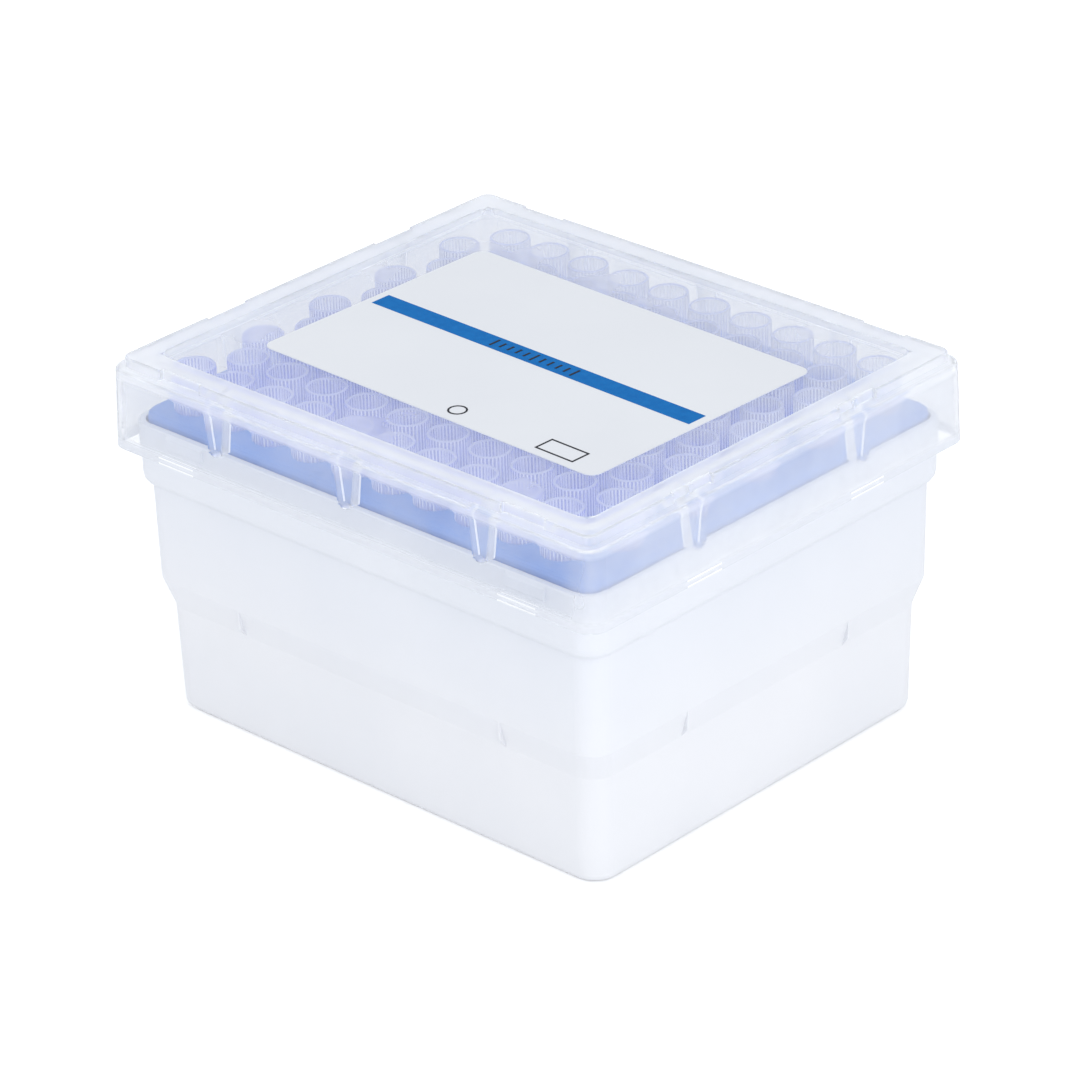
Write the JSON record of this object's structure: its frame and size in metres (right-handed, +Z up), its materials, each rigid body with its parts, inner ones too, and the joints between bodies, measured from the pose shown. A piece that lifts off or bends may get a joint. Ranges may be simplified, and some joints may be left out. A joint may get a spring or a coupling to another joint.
{
  "type": "pipette tip box",
  "caption": "Rectangular plastic box with a lift-off lid, a holed inner tray and staggered rows of long tapered tips that hang from the tray.",
  "frame": {"origin": "middle of the base's flat underside, on the table", "axes": "+Z up, X along the long side, -Y towards the front long side"},
  "size_m": [0.1304, 0.1108, 0.0786],
  "materials": {
    "lid_plastic": "translucent, smooth",
    "base_plastic": "translucent, fine matt",
    "tray_plastic": "smooth",
    "tip_plastic": "translucent, smooth",
    "label_paper": "satin film",
    "print_blue": "printed field",
    "print_dark": "printed field"
  },
  "bodies": {
    "box": {"base": "base_plastic", "tray": "tray_plastic", "tips_row_01": "tip_plastic", "tips_row_02": "tip_plastic", "tips_row_03": "tip_plastic", "tips_row_04": "tip_plastic", "tips_row_05": "tip_plastic", "tips_row_06": "tip_plastic", "tips_row_07": "tip_plastic", "tips_row_08": "tip_plastic", "tips_row_09": "tip_plastic", "tips_row_10": "tip_plastic"},
    "cover": {"lid": "lid_plastic", "label": "label_paper", "label_stripe": "print_blue", "label_ticks": "print_dark", "label_marks": "print_dark"}
  },
  "joints": [
    {"name": "lid_lift", "type": "slide", "parent": "box", "child": "cover", "axis": [0, 0, 1], "range_m": [0, 0.06]}
  ]
}
